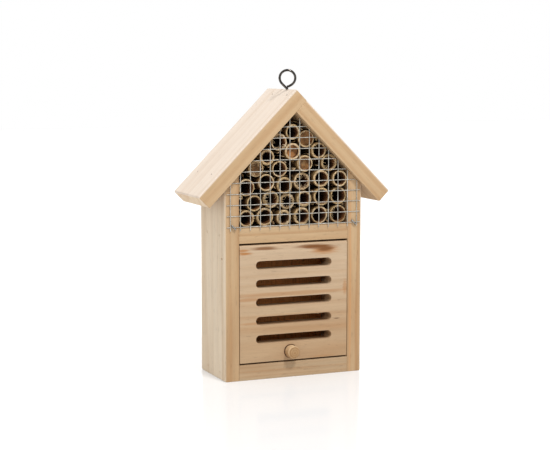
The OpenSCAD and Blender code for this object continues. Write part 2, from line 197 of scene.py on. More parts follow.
def pine(name, grain, pith, ring=0.0036, pale=PALE_WOOD, dark=DARK_WOOD, contrast=0.55, flecks=0.35,
         streaks=(), pale_skin=None, ends=END_SHADE, texture=1.0):
    """Pine cut from a trunk whose heart runs along grain through pith, so rings, faces and end grain agree.
    Each streak is a spot, half its length and width, its tone and its strength. pale_skin is a direction,
    the distance to the outer face that way, how deep the paler skin goes, its tone and how much of the
    rings shows in it."""
    wood = Finish(name, Specular_IOR_Level=0.25)
    along = Vector(grain).normalized()
    place = wood.place()
    apart = place - pith
    run = apart.on(along)
    across = apart - run * tuple(along)
    slow = across + run * tuple(along * 0.12)
    drawn = across + run * tuple(along * 0.025)
    wander = wood.noise(slow, 26.0, 2.0) - 0.5
    growth = (across.length() + wander * 0.009) / ring
    year = wood.node("ShaderNodeTexWhiteNoise", {"noise_dimensions": "1D"}, {"W": growth.math("FLOOR")})
    late = wood.ramp(growth.math("FRACT"),
                     [(0, 0.3), (0.1, 0.0), (0.5, 0.12), (0.84, 1.0), (0.95, 0.85), (1, 0.3)])
    late = late * (year * 0.7 + 0.3)
    fibre = wood.noise(drawn, 2100.0, 2.0, 0.6)
    thread = wood.noise(across + run * tuple(along * 0.05), 420.0, 2.0, 0.6)
    cloud = wood.noise(slow, 60.0, 2.0)
    pores = wood.noise(across + run * tuple(along * 0.16), 900.0, 1.0).step(0.62, 0.74)
    colour = wood.blend(pale, dark, late * contrast)
    colour = wood.blend(colour, dark, (cloud - 0.42).step(0.0, 0.3) * 0.35)
    if pale_skin:
        toward, face, deep, tone, grainy = pale_skin
        under = face - place.on(Vector(toward).normalized())
        rings = late * (grainy * 0.4) + cloud.step(0.45, 0.75) * (grainy * 0.3)
        colour = wood.blend(colour, wood.blend(tone, pale, rings), under.step(deep, 0.0002) * 0.85)
    shade = 1.0 + (fibre - 0.5) * (0.26 * texture) + (thread - 0.5) * (0.24 * texture)
    colour = colour * (shade - pores * (flecks * 0.4))
    for spot, long, wide, tint, force in streaks:
        off = place - spot
        down = off.on(along)
        side = (off - down * tuple(along)).length()
        far = ((down / long) ** 2.0 + (side / wide) ** 2.0).math("SQRT")
        far = far + (fibre - 0.5) * 1.5 + wander * 2.0
        colour = wood.blend(colour, tint, far.step(1.1, 0.3) * force)
    facing = wood.node("ShaderNodeTexCoord", None, None, "Normal")
    sawn_end = facing.on(along).math("ABSOLUTE").step(0.8, 0.95)
    colour = wood.blend(colour, ends, sawn_end, "MULTIPLY")
    wood.feed(Base_Color=colour, Roughness=0.56 + fibre * 0.14 + sawn_end * 0.12)
    wood.relief(late * 0.35 + fibre * 0.5 - pores * 0.6, 0.35, 0.00025)
    return wood.material


def placed(name, mesh):
    """An object at the origin that shows a mesh."""
    made = bpy.data.objects.new(name, mesh)
    bpy.context.scene.collection.objects.link(made)
    return made


SMALLEST_EDGE = 0.0006      # the rims of nail holes are finer than this and stay sharp
SMALLEST_FLAT = 0.00002     # the least area in square metres of a board's flat side
SAME_FLAT = 0.9995          # how nearly alike two directions are on one flat side
CLOSE = 2e-6                # corners nearer than this are one corner
CLOSE_BEVELLED = 1e-6


def sanded(name, node, body, material, rounding):
    """A board with the outline, holes and place of its CAD node, and its edges rounded by sanding."""
    work = bmesh.new()
    work.from_mesh(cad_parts[node].data)
    bmesh.ops.remove_doubles(work, verts=work.verts, dist=CLOSE)
    bmesh.ops.dissolve_limit(work, angle_limit=math.radians(1), verts=work.verts, edges=work.edges)
    edges = [e for e in work.edges if len(e.link_faces) == 2 and e.calc_length() > SMALLEST_EDGE
             and e.calc_face_angle() > math.radians(25)]
    flats = [f.normal.copy() for f in work.faces if f.calc_area() > SMALLEST_FLAT]
    bmesh.ops.bevel(work, geom=edges, offset=rounding, segments=3, profile=0.5, affect="EDGES",
                    clamp_overlap=False)
    bmesh.ops.remove_doubles(work, verts=work.verts, dist=CLOSE_BEVELLED)
    bmesh.ops.dissolve_degenerate(work, dist=CLOSE_BEVELLED, edges=work.edges)
    for face in work.faces:
        face.normal_update()
        face.smooth = all(face.normal.dot(flat) < SAME_FLAT for flat in flats)
    mesh = bpy.data.meshes.new(name)
    work.to_mesh(mesh)
    work.free()
    mesh.materials.append(material)
    board = placed(name, mesh)
    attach(board, body)
    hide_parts(node)


UPRIGHT = (0, 0, 1)
LEVEL = (1, 0, 0)
ORANGE_GRAIN = swatch(205, 140, 80)
PALE_SKIN_DEPTH = 0.0014          # how deep the paler skin on the outer faces goes

wall_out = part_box("wall_right")[1].x
# Painted sheen: the paler skin on the walls' outer faces stands in for the white glare the sides show at a
# grazing angle
wall_pine_left = pine("wall pine left", UPRIGHT, (-0.118, 0.034, 0.0), ring=0.0060, contrast=0.4,
                      pale_skin=((-1, 0, 0), wall_out, PALE_SKIN_DEPTH, SIDE_SHEEN_TONE, 1.0))
wall_pine_right = pine("wall pine right", UPRIGHT, (0.096, -0.090, 0.0), ring=0.0048, contrast=0.5,
                       streaks=[((0.0475, -0.026, 0.06), 0.09, 0.0012, ORANGE_GRAIN, 0.35)],
                       pale_skin=((1, 0, 0), wall_out, PALE_SKIN_DEPTH, SIDE_SHEEN_TONE, 1.0))
sanded("side_wall_left", "wall_left", "house", wall_pine_left, 0.00035)
sanded("side_wall_right", "wall_right", "house", wall_pine_right, 0.00035)


# ---------------------------------------------------------------------------
# Floor board and shelf. Two short pine boards with level grain, cut to the
# width between the walls and nailed through them. Their front edges show.
# ---------------------------------------------------------------------------

floor_pine = pine("floor pine", LEVEL, (0.0, 0.02, -0.055), ring=0.003, contrast=0.35,
                  pale=swatch(178, 153, 122))
shelf_pine = pine("shelf pine", LEVEL, (0.0, -0.075, 0.165), ring=0.004, contrast=0.45)
sanded("bottom_board", "floor_board", "house", floor_pine, 0.0002)
sanded("loft_shelf", "shelf_board", "house", shelf_pine, 0.0002)


# ---------------------------------------------------------------------------
# Back panel. Thin plywood let in between the walls and under the roof, with
# its face veneer peeled off the trunk, so the grain runs in wide tall arches.
# The veneer on the inside is a cheaper, redder one.
# ---------------------------------------------------------------------------

FACE_VENEER = swatch(206, 176, 138)
RED_VENEER, RED_VENEER_DARK = swatch(230, 154, 88), swatch(186, 114, 58)
VENEER_THICK = 0.0012
ply_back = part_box("back_panel")[1].y
ply = pine("plywood", UPRIGHT, (0.012, -0.004, 0.0), ring=0.0011, pale=RED_VENEER, dark=RED_VENEER_DARK,
           contrast=0.5, flecks=0.6, pale_skin=((0, 1, 0), ply_back, VENEER_THICK, FACE_VENEER, 1.0))
sanded("plywood_back", "back_panel", "house", ply, 0.00015)


# ---------------------------------------------------------------------------
# Door stop. A square strip of pine glued on the floor board behind the door,
# where the lower edge of the shut door comes to rest.
# ---------------------------------------------------------------------------

stop_pine = pine("stop pine", LEVEL, (0.0, 0.03, -0.02), ring=0.0028)
sanded("stop_strip", "door_stop", "house", stop_pine, 0.0003)


# ---------------------------------------------------------------------------
# Roof. Two planed pine boards with the grain down the slope, paler than the
# rest. The left one runs up to the ridge and laps over the end of the right
# one, and both are nailed down into the tops of the walls.
# ---------------------------------------------------------------------------

ridge = max(v.co.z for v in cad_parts["roof_board_left"].data.vertices)
ROOF_CREAM = swatch(217, 204, 191)
ROOF_END_LIT = (1.39, 1.62, 2.05, 1.0)      # painted light: this multiplies the tone of the sawn eave ends, lighter as if lit from the lower left
roof_skin = (ridge * math.sqrt(0.5), PALE_SKIN_DEPTH, ROOF_CREAM, 0.55)
roof_pine_left = pine("roof pine left", (-1, 0, -1), (-0.02, 0.05, 0.30), ring=0.0075, contrast=0.35,
                      flecks=0.2, pale_skin=((-1, 0, 1), *roof_skin), ends=ROOF_END_LIT, texture=0.6)
roof_pine_right = pine("roof pine right", (1, 0, -1), (0.03, -0.085, 0.28), ring=0.0052, contrast=0.35,
                       flecks=0.2, pale_skin=((1, 0, 1), *roof_skin), ends=ROOF_END_LIT, texture=0.6)
sanded("roof_left", "roof_board_left", "house", roof_pine_left, 0.0003)
sanded("roof_right", "roof_board_right", "house", roof_pine_right, 0.0003)


# ---------------------------------------------------------------------------
# Brads and hinge pins. Drawn steel, punched just below the surface of the
# wood, so that only their ends show in their small holes.
# ---------------------------------------------------------------------------

def drawn_steel(name, tone, rough, filled=None):
    """Drawn wire. filled is the direction of its ends, which are wiped over with pale wood filler."""
    steel = Finish(name, Metallic=1.0)
    place = steel.place()
    dull = steel.noise(place, 900.0, 3.0)
    scuff = steel.noise(place * (1.0, 1.0, 0.1), 2600.0, 2.0)
    colour = steel.blend(tone, tuple(c * 0.55 for c in tone[:3]) + (1.0,), dull.step(0.35, 0.75))
    rough = rough + dull * 0.25 + scuff * 0.1
    if filled:
        ends = steel.node("ShaderNodeTexCoord", None, None, "Normal").on(Vector(filled).normalized())
        filler = ends.math("ABSOLUTE").step(0.8, 0.95)
        colour = steel.blend(colour, steel.blend(FILLER, PALE_WOOD, dull.step(0.4, 0.7)), filler)
        steel.feed(Metallic=1.0 - filler)
        rough = rough + filler * 0.4
    steel.feed(Base_Color=colour, Roughness=rough)
    steel.relief(scuff * 0.5 + dull, 0.15, 0.00005)
    return steel.material


FILLER = swatch(214, 198, 170)
BRIGHT_STEEL = swatch(176, 172, 166)
for fixing, filled in (("roof_brads", UPRIGHT), ("wall_brads", LEVEL), ("back_brads", (0, 1, 0)),
                       ("hinge_pin_left", LEVEL), ("hinge_pin_right", LEVEL)):
    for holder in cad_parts[fixing].material_slots:
        holder.material = drawn_steel(fixing.replace("_", " "), BRIGHT_STEEL, 0.35, filled)


# ---------------------------------------------------------------------------
# Bamboo. Lengths of thin garden cane sawn off and packed into the loft in
# layers. Each is a tube with a rough cut end, an uneven wall, a natural
# partition somewhere along it and a few fibres torn out by the saw.
# ---------------------------------------------------------------------------

class Shape(Plan):
    """A geometry tree with named sizes, which makes a plain mesh from a start mesh."""

    def __init__(self, name, **sizes):
        super().__init__(bpy.data.node_groups.new(name, "GeometryNodeTree"))
        face = self.tree.interface
        face.new_socket("Geometry", in_out="INPUT", socket_type="NodeSocketGeometry")
        self.names = {key: face.new_socket(key, in_out="INPUT", socket_type="NodeSocket" + kind).identifier
                      for key, kind in sizes.items()}
        face.new_socket("Geometry", in_out="OUTPUT", socket_type="NodeSocketGeometry")
        self.ins = self.tree.nodes.new("NodeGroupInput")
        self.outs = self.tree.nodes.new("NodeGroupOutput")

    def size(self, name):
        return Signal(self, self.ins.outputs[name])

    def finish(self, shape):
        """Ends the tree: instances made real, shaded smooth, in the given material."""
        shape = self.node("GeometryNodeRealizeInstances", None, {0: shape})
        shape = self.node("GeometryNodeSetShadeSmooth", None, {0: shape})
        shape = self.node("GeometryNodeSetMaterial", None, {0: shape, "Material": self.size("Material")})
        self.join(shape, self.outs.inputs[0])

    def make(self, name, start, body, slot, nodes, **sizes):
        """Runs the tree on a start mesh, keeps the result as a plain mesh, attaches it to its body and hides
        the CAD nodes it stands for.
        """
        made = placed(name, start)
        change = made.modifiers.new("shape", "NODES")
        change.node_group = self.tree
        for key, value in sizes.items():
            change[self.names[key]] = value
        seen = bpy.context.evaluated_depsgraph_get()
        mesh = bpy.data.meshes.new_from_object(made.evaluated_get(seen))
        made.modifiers.remove(change)
        made.data = mesh
        mesh.name = name
        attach(made, body)
        if nodes:
            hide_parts(*nodes)
        return made


def field(plan, kind, value, geometry, index, name=None):
    """The value, or the named attribute, that a point of another geometry holds."""
    if name:
        value = plan.node("GeometryNodeInputNamedAttribute", {"data_type": kind}, {"Name": name})
    return plan.node("GeometryNodeSampleIndex", {"data_type": kind, "domain": "POINT"},
                     {"Geometry": geometry, "Value": value, "Index": index})


def vector(plan, x, y, z):
    """Three numbers joined into a place or a direction."""
    return plan.node("ShaderNodeCombineXYZ", None, {0: x, 1: y, 2: z})


cane = Shape("Sawn cane", Middle="Vector", Turns="Int", Seed="Float", Oval="Float", Lean="Float",
             Ragged="Float", Splinters="Int", Splinter_Length="Float", Rim="Float", Material="Material")

# A grid is wound round the cane's axis, and each of its rows takes its place from the half section
outline = Signal(cane, cane.ins.outputs["Geometry"])
points = cane.node("GeometryNodeAttributeDomainSize", None, {0: outline})
grid = cane.node("GeometryNodeMeshGrid", None,
                 {"Size X": 1.0, "Size Y": 1.0, "Vertices X": cane.size("Turns") + 1, "Vertices Y": points})
spot = cane.node("GeometryNodeInputPosition")
turn = (spot.on((1, 0, 0)) + 0.5) * (2 * math.pi)
row = ((spot.on((0, 1, 0)) + 0.5) * (points - 1)).math("ROUND")
drawing = field(cane, "FLOAT_VECTOR", cane.node("GeometryNodeInputPosition"), outline, row)
part = field(cane, "FLOAT", None, outline, row, "part")
torn = field(cane, "FLOAT", None, outline, row, "torn")
seed = cane.size("Seed")
ray = vector(cane, turn.math("COSINE"), 0.0, turn.math("SINE"))
swell = 1.0 - cane.size("Oval") * cane.noise(ray * 0.7 + seed, 1.0, 0.0)
saw = cane.noise(ray * 2.6 + seed * 3.0, 1.0, 4.0, 0.7) - 0.5
teeth = cane.noise(ray * 11.0 + seed * 5.0, 1.0, 2.0, 0.6).step(0.56, 0.72)
depth = drawing.on((0, 1, 0)) + torn * cane.size("Ragged") * (saw * 1.6 + teeth * 0.9)
reach = drawing.on((1, 0, 0)) * swell
inside = part.step(1.2, 1.8) * cane.size("Lean")
tilt = seed * 2.4
surface = (ray * reach + vector(cane, tilt.math("COSINE") * inside, depth, tilt.math("SINE") * inside)
           + cane.size("Middle"))
shell = cane.node("GeometryNodeStoreNamedAttribute", {"data_type": "FLOAT_VECTOR", "domain": "POINT"},
                  {"Geometry": grid, "Name": "cane", "Value": vector(cane, part, depth, seed)})
shell = cane.node("GeometryNodeSetPosition", None, {"Geometry": shell, "Position": surface})
shell = cane.node("GeometryNodeMergeByDistance", None, {"Geometry": shell, "Distance": 0.000004})
shell = cane.node("GeometryNodeFlipFaces", None, {0: shell})

# Splinters stand in clumps on the rim of the cut, and lean in over the bore
SPLINTER_ROOT, SPLINTER_TIP = 0.00027, 0.00004
ring = cane.node("GeometryNodeMeshCircle", None,
                 {"Vertices": cane.size("Splinters"), "Radius": cane.size("Rim")})
lie = cane.node("GeometryNodeInputPosition")
around = vector(cane, lie.on((1, 0, 0)), -0.0001, lie.on((0, 1, 0))) + cane.size("Middle")
ring = cane.node("GeometryNodeSetPosition", None, {"Geometry": ring, "Position": around})
chance = cane.node("FunctionNodeRandomValue", {"data_type": "FLOAT"},
                   {"Min": 0.0, "Max": 1.0, "Seed": seed * 100.0}, 1)
stray = cane.node("FunctionNodeRandomValue", {"data_type": "FLOAT_VECTOR"},
                  {0: (-0.9, -1.2, -0.9), 1: (0.9, 0.3, 0.9), "Seed": seed * 70.0}, 0)
stout = cane.node("FunctionNodeRandomValue", {"data_type": "FLOAT_VECTOR"},
                  {0: (0.45, 0.45, 0.15), 1: (1.3, 1.3, 1.15), "Seed": seed * 40.0}, 0)
clump = cane.noise(cane.node("GeometryNodeInputPosition"), 170.0, 1.0) - 0.5
inward = (cane.size("Middle") - lie) / cane.size("Rim")
fibre = cane.node("GeometryNodeMeshCone", None, {
    "Vertices": 4, "Side Segments": 2, "Radius Top": SPLINTER_TIP, "Radius Bottom": SPLINTER_ROOT,
    "Depth": cane.size("Splinter_Length")})
lean_in = cane.node("FunctionNodeAlignRotationToVector", {"axis": "Z"}, {"Vector": inward * 0.8 + stray})
fibres = cane.node("GeometryNodeInstanceOnPoints", None, {
    "Points": ring, "Selection": (chance + clump * 1.5).sum("GREATER_THAN", 0.3), "Instance": fibre,
    "Rotation": lean_in, "Scale": stout})
fibres = cane.node("GeometryNodeRealizeInstances", None, {0: fibres})
fibres = cane.node("GeometryNodeStoreNamedAttribute", {"data_type": "FLOAT_VECTOR", "domain": "POINT"},
                   {"Geometry": fibres, "Name": "cane", "Value": vector(cane, 1.0, 0.0, seed)})
both = cane.tree.nodes.new("GeometryNodeJoinGeometry")
cane.join(shell, both.inputs[0])
cane.join(fibres, both.inputs[0])
cane.finish(Signal(cane, both.outputs[0]))

# Bamboo's finish. Each point tells where it belongs (0 skin, 1 cut rim, 2 bore, 3 partition), how deep it
# lies behind the cut, and which cane it is on.
bamboo = Finish("bamboo", Specular_IOR_Level=0.35)
place = bamboo.place()
told = bamboo.node("ShaderNodeAttribute", {"attribute_name": "cane"}, None, "Vector")
cut = told.on((1, 0, 0))
back = told.on((0, 1, 0))
piece = told.on((0, 0, 1))
own = place + vector(bamboo, piece, 0.0, piece) * 0.37
bundles = bamboo.noise(own * (1.0, 0.05, 1.0), 2600.0, 2.0)
patch = bamboo.noise(own * (1.0, 0.4, 1.0), 240.0, 3.0)
stain = bamboo.noise(own * (1.0, 0.3, 1.0), 120.0, 2.0)
hue = bamboo.node("ShaderNodeTexWhiteNoise", {"noise_dimensions": "1D"}, {"W": piece * 7.3})
rim_tone = bamboo.blend(swatch(206, 178, 138), swatch(176, 150, 106), hue)
rim_tone = bamboo.blend(rim_tone, swatch(126, 90, 54), bundles.step(0.5, 0.75) * 0.7)
rim_tone = bamboo.blend(rim_tone, swatch(232, 214, 184), patch.step(0.5, 0.72) * 0.65)
# The bore, skin and partition tones are set darker than the cane's own, partly painted shade inside the
# tubes and in the gaps between them
bore_tone = bamboo.blend(swatch(136, 88, 48), swatch(84, 52, 28), stain.step(0.35, 0.6))
bore_tone = bamboo.blend(bore_tone, swatch(176, 140, 94), patch.step(0.64, 0.80) * 0.5)
skin_tone = bamboo.blend(swatch(150, 120, 76), swatch(104, 74, 44), stain.step(0.35, 0.7))
node_tone = bamboo.blend(swatch(160, 108, 58), swatch(122, 102, 68), hue.step(0.3, 0.7))
node_tone = bamboo.blend(node_tone, swatch(84, 56, 30), patch.step(0.42, 0.66) * 0.8)
wall_tone = bamboo.blend(rim_tone, bore_tone, cut.step(1.35, 1.75))
tone = bamboo.blend(skin_tone, wall_tone, cut.step(0.35, 0.75))
# Darker with depth behind the cut, in the bores and on the skin: painted shade in the hollows and gaps, with
# a little dust in the bores
dust_and_shade = back.step(0.0, 0.010) * cut.step(1.35, 1.75) + back.step(0.0008, 0.006) * cut.step(0.5, 0.2)
tone = bamboo.blend(tone, swatch(52, 32, 18), dust_and_shade * 0.78)
tone = bamboo.blend(tone, node_tone, cut.step(2.3, 2.9) * back.step(0.012, 0.004))
bamboo.feed(Base_Color=tone, Roughness=0.62 + bundles * 0.2 - cut.step(0.5, 0.1) * 0.2)
bamboo.relief(bundles + patch, 0.4, 0.00025)


TORN_DEPTH = 0.0025     # how far behind the cut the saw has torn the wall


def cane_drawing(name, radius, bore, length, closed_at, closed_by):
    """Half the section of one cane, as a line of points that each hold the distance from its axis, the depth
    behind the cut, and what they belong to."""
    soft = (radius - bore) * 0.28
    line = [(0.0, closed_at, 3), (bore * 0.6, closed_at + 0.0003, 3), (bore * 0.93, closed_at - 0.0001, 3),
            (bore, closed_at - 0.0006, 2)]
    inner = [closed_at - 0.0008 - (closed_at - 0.0013) * k / 7 for k in range(1, 8)]
    line += [(bore, y, 2) for y in inner if y > 0.0007]
    line += [(bore, 0.0006, 2), (bore + 0.0001, 0.0002, 1.6), (bore + soft, 0.0, 1),
             ((radius + bore) / 2, 0.0, 1), (radius - soft, 0.0, 1), (radius - 0.0001, 0.0002, 0.6)]
    line += [(radius, 0.0006, 0), (radius, 0.0016, 0), (radius, 0.005, 0), (radius, length * 0.5, 0),
             (radius, length, 0), (bore, length, 1), (bore, closed_at + closed_by + 0.0005, 2),
             (bore * 0.9, closed_at + closed_by, 3), (0.0, closed_at + closed_by, 3)]
    mesh = bpy.data.meshes.new(name)
    mesh.from_pydata([(r, y, 0) for r, y, kind in line], [(k, k + 1) for k in range(len(line) - 1)], [])
    kinds = mesh.attributes.new("part", "FLOAT", "POINT")
    kinds.data.foreach_set("value", [float(kind) for r, y, kind in line])
    torn = mesh.attributes.new("torn", "FLOAT", "POINT")
    torn.data.foreach_set("value", [max(0.0, 1.0 - y / TORN_DEPTH) if y < length / 2 else 0.0
                                    for r, y, kind in line])
    return mesh


def bore_of(node):
    """Outer radius, bore and the depths of the partition's two faces, read from a cane's own vertices."""
    low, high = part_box(node)
    middle = (low + high) / 2
    far = [(math.hypot(v.co.x - middle.x, v.co.z - middle.z), v.co.y - low.y)
           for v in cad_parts[node].data.vertices]
    outer = max(r for r, y in far)
    bore = min(r for r, y in far if y < 0.00001)
    inside = [y for r, y in far if r < outer - 0.0003 and 0.0001 < y < high.y - low.y - 0.0001]
    return outer, bore, min(inside), max(inside)


def cut_end(node):
    """The middle of a cane's front end, and its depth from front to back."""
    low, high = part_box(node)
    return ((low.x + high.x) / 2, low.y, (low.z + high.z) / 2), high.y - low.y


dice = random.Random(11)
ROUGH_CUT = (3, 4, 6, 8, 9, 16, 19, 22, 26)      # sawn with a blunt blade, with many long splinters
ROUGHER = 1.8
CANE_SIDES, REED_SIDES = 48, 28
SPLINTERS = (36, 0.0022)         # how many places for one there are on a rim, and the longest
ROUGH_SPLINTERS = (70, 0.0042)
axes = []
canes = sorted(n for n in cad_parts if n.startswith("bamboo_tube_"))
for number, node in enumerate(canes, 1):
    middle, long = cut_end(node)
    outer, bore, front, behind = bore_of(node)
    shape = cane_drawing(node, outer, bore, long, front, behind - front)
    axes.append((middle[0], middle[2], outer))
    splinters, longest = ROUGH_SPLINTERS if number in ROUGH_CUT else SPLINTERS
    cane.make(f"cane_{number:02d}", shape, "house", "bamboo", [node], Middle=middle, Turns=CANE_SIDES,
              Seed=number * 1.37, Oval=dice.uniform(0.02, 0.07), Lean=dice.uniform(0.0, 0.0004),
              Ragged=dice.uniform(0.0005, 0.0012) * (ROUGHER if number in ROUGH_CUT else 1.0),
              Splinters=splinters, Splinter_Length=longest * dice.uniform(0.6, 1.0), Rim=(outer + bore) / 2,
              Material=bamboo.material)

REED_BORE, REED_RIM = 0.42, 0.7     # shares of the reed's own radius
low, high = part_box("thin_reed")
reed_outer = (high.x - low.x) / 2
middle, long = cut_end("thin_reed")
shape = cane_drawing("reed", reed_outer, reed_outer * REED_BORE, long, 0.02, 0.0008)
cane.make("reed", shape, "house", "bamboo", ["thin_reed"], Middle=middle, Turns=REED_SIDES, Seed=3.1,
          Oval=0.04, Lean=0.0, Ragged=0.0004, Splinters=8, Splinter_Length=0.0006, Rim=reed_outer * REED_RIM,
          Material=bamboo.material)

# Slivers of split cane that were pushed into the gaps between the tubes
ROOF_THICK = 0.012
axes.append((middle[0], middle[2], reed_outer))
cane_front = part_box(canes[0])[0].y
loft_side, loft_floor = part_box("wall_right")[0].x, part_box("shelf_board")[1].z
loft_top = ridge - ROOF_THICK * math.sqrt(2)


def room(x, z):
    """Distance from a place in the loft to the nearest cane, board or roof."""
    gaps = [math.hypot(x - a, z - b) - r for a, b, r in axes]
    return min(gaps + [loft_side - abs(x), z - loft_floor, (loft_top - abs(x) - z) * math.sqrt(0.5)])


SLIVER_ROOM = (0.0006, 0.0024)      # the least and most free space that a sliver is pushed into
SLIVER_APART = 0.0045
SLIVER_RINGS = 6
SLIVER_SECTION = ((-1, 0), (-0.5, 1), (0, 1.5), (0.5, 1), (1, 0), (0.5, -1), (0, -0.7), (-0.5, -1))
slivers, taken, told_of = bmesh.new(), [], []
for attempt in range(5000):
    x, z = dice.uniform(-loft_side, loft_side), dice.uniform(loft_floor, loft_top)
    free = room(x, z)
    crowded = any(math.hypot(x - a, z - b) < SLIVER_APART for a, b in taken)
    if crowded or not SLIVER_ROOM[0] < free < SLIVER_ROOM[1]:
        continue
    taken.append((x, z))
    half, thick, turn = min(free - 0.0002, 0.0013), min(free * 0.3, 0.00025), dice.uniform(0, math.pi)
    start, long = cane_front + dice.uniform(0.0002, 0.0045), dice.uniform(0.006, 0.015)
    kind = dice.choice((0.0, 1.0, 1.0))
    rings, last = [], SLIVER_RINGS - 1
    for k in range(SLIVER_RINGS):
        lean, section = turn + k * 0.05, []
        for across, out in SLIVER_SECTION:
            u, v = half * across * (1 - 0.06 * k), thick * out
            jag = dice.uniform(-0.0007, 0.0007) if k in (0, last) and out > -0.8 else 0.0
            section.append(slivers.verts.new((x + u * math.cos(lean) - v * math.sin(lean),
                                              start + long * k / last + jag,
                                              z + u * math.sin(lean) + v * math.cos(lean))))
            # The depth handed on here darkens the skin-side slivers further back, by the painted shade of
            # the bamboo finish
            told_of.append((kind, 0.0 if k < 2 else 0.001 * k, attempt * 0.01))
        rings.append(section)
    sides = len(SLIVER_SECTION)
    for near, far in zip(rings, rings[1:]):
        for k in range(sides):
            slivers.faces.new((near[k], near[(k + 1) % sides], far[(k + 1) % sides], far[k]))
    slivers.faces.new(list(reversed(rings[0])))
    slivers.faces.new(rings[-1])
bmesh.ops.recalc_face_normals(slivers, faces=slivers.faces)
mesh = bpy.data.meshes.new("cane_slivers")
slivers.to_mesh(mesh)
slivers.free()
told = mesh.attributes.new("cane", "FLOAT_VECTOR", "POINT")
told.data.foreach_set("vector", [c for row in told_of for c in row])
mesh.materials.append(bamboo.material)
made = placed("cane_slivers", mesh)
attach(made, "house")


# ---------------------------------------------------------------------------
# Wire mesh. Galvanised wire welded into squares: level wires against the wood
# and upright wires in front of them, cut off with side cutters along the roof.
# ---------------------------------------------------------------------------

wire = Shape("Bent wire", Radius="Float", Corner="Float", Step="Float", Wave="Float", Sides="Int",
             Material="Material")
run = wire.node("GeometryNodeMeshToCurve", None, {"Mesh": Signal(wire, wire.ins.outputs["Geometry"])})
run = wire.node("GeometryNodeFilletCurve", {"mode": "POLY"}, {
    "Curve": run, "Count": 6, "Radius": wire.size("Corner"), "Limit Radius": True})
run = wire.node("GeometryNodeResampleCurve", {"mode": "LENGTH"},
                {"Curve": run, "Length": wire.size("Step")})
here = wire.node("GeometryNodeInputPosition")
wobble = wire.node("ShaderNodeTexNoise", None, {"Vector": here, "Scale": 55.0, "Detail": 1.0}, "Color") - 0.5
run = wire.node("GeometryNodeSetPosition", None, {"Geometry": run, "Offset": wobble * wire.size("Wave")})
round_section = wire.node("GeometryNodeCurvePrimitiveCircle", None,
                          {"Resolution": wire.size("Sides"), "Radius": wire.size("Radius")})
wire.finish(wire.node("GeometryNodeCurveToMesh", None,
                      {"Curve": run, "Profile Curve": round_section, "Fill Caps": True}))


def solids(node):
    """Lowest and highest corner of each separate solid of a CAD node."""
    work = bmesh.new()
    work.from_mesh(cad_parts[node].data)
    bmesh.ops.remove_doubles(work, verts=work.verts, dist=CLOSE)
    left, found = set(work.verts), []
    while left:
        group, edge = set(), [left.pop()]
        while edge:
            v = edge.pop()
            group.add(v)
            new = {e.other_vert(v) for e in v.link_edges} & left
            left -= new
            edge += new
        spots = [v.co.copy() for v in group]
        found.append((Vector(map(min, *spots)), Vector(map(max, *spots))))
    work.free()
    return sorted(found, key=lambda pair: tuple(round(c, 5) for c in pair[0]))


def lines(name, runs):
    """A start mesh of open lines, each a list of points."""
    mesh = bpy.data.meshes.new(name)
    spots, edges = [], []
    for run in runs:
        edges += [(len(spots) + k, len(spots) + k + 1) for k in range(len(run) - 1)]
        spots += [tuple(p) for p in run]
    mesh.from_pydata(spots, edges, [])
    return mesh


zinc = Finish("galvanised wire", Metallic=0.35)
place = zinc.place()
spangle = zinc.noise(place, 1400.0, 2.0)
bloom = zinc.noise(place, 260.0, 3.0)
zinc_tone = zinc.blend(swatch(184, 180, 170), swatch(140, 136, 126), spangle.step(0.4, 0.7))
zinc_tone = zinc.blend(zinc_tone, swatch(226, 223, 216), bloom.step(0.5, 0.7) * 0.6)
zinc.feed(Base_Color=zinc_tone, Roughness=0.42 + spangle * 0.25)
zinc.relief(spangle + bloom, 0.25, 0.00008)

uprights = solids("mesh_uprights")
levels = solids("mesh_levels")
SLACK = 0.0001       # the drawn wire is this much under its nominal radius, and lies back to touch the wood
wire_radius = (uprights[0][1].y - uprights[0][0].y) / 2 - SLACK
for name, node, parts, axis, back in (("upright_wires", "mesh_uprights", uprights, 2, SLACK * 3),
                                      ("level_wires", "mesh_levels", levels, 0, SLACK)):
    runs = []
    for low, high in parts:
        middle = (low + high) / 2 + Vector((0, back, 0))
        start, end = middle.copy(), middle.copy()
        start[axis], end[axis] = low[axis], high[axis]
        runs.append((start, end))
    wire.make(name, lines(name, runs), "house", "galvanised_wire", [node], Radius=wire_radius, Corner=0.0,
              Step=0.002, Wave=0.00022, Sides=10, Material=zinc.material)

# Beads of zinc run together where two wires are welded
bead = Shape("Weld bead", Size="Float", Material="Material")
drop = bead.node("GeometryNodeMeshIcoSphere", None, {"Radius": bead.size("Size"), "Subdivisions": 2})
grow = bead.node("FunctionNodeRandomValue", {"data_type": "FLOAT_VECTOR"},
                 {0: (0.8, 0.8, 0.8), 1: (1.25, 1.0, 1.25), "Seed": 5}, 0)
bead.finish(bead.node("GeometryNodeInstanceOnPoints", None, {
    "Points": Signal(bead, bead.ins.outputs["Geometry"]), "Instance": drop, "Scale": grow}))
crossings = []
for up_low, up_high in uprights:
    for level_low, level_high in levels:
        x, z = (up_low.x + up_high.x) / 2, (level_low.z + level_high.z) / 2
        if level_low.x < x < level_high.x and up_low.z < z < up_high.z:
            crossings.append((x, (up_low.y + level_high.y) / 2 + SLACK * 2, z))
spots = bpy.data.meshes.new("weld_beads")
spots.from_pydata(crossings, [], [])
bead.make("weld_beads", spots, "house", "galvanised_wire", [], Size=wire_radius * 1.3,
          Material=zinc.material)


# ---------------------------------------------------------------------------
# Staples. Two wire staples, driven at a slant across the lowest level wire
# into the front edges of the walls. They hold the mesh.
# ---------------------------------------------------------------------------

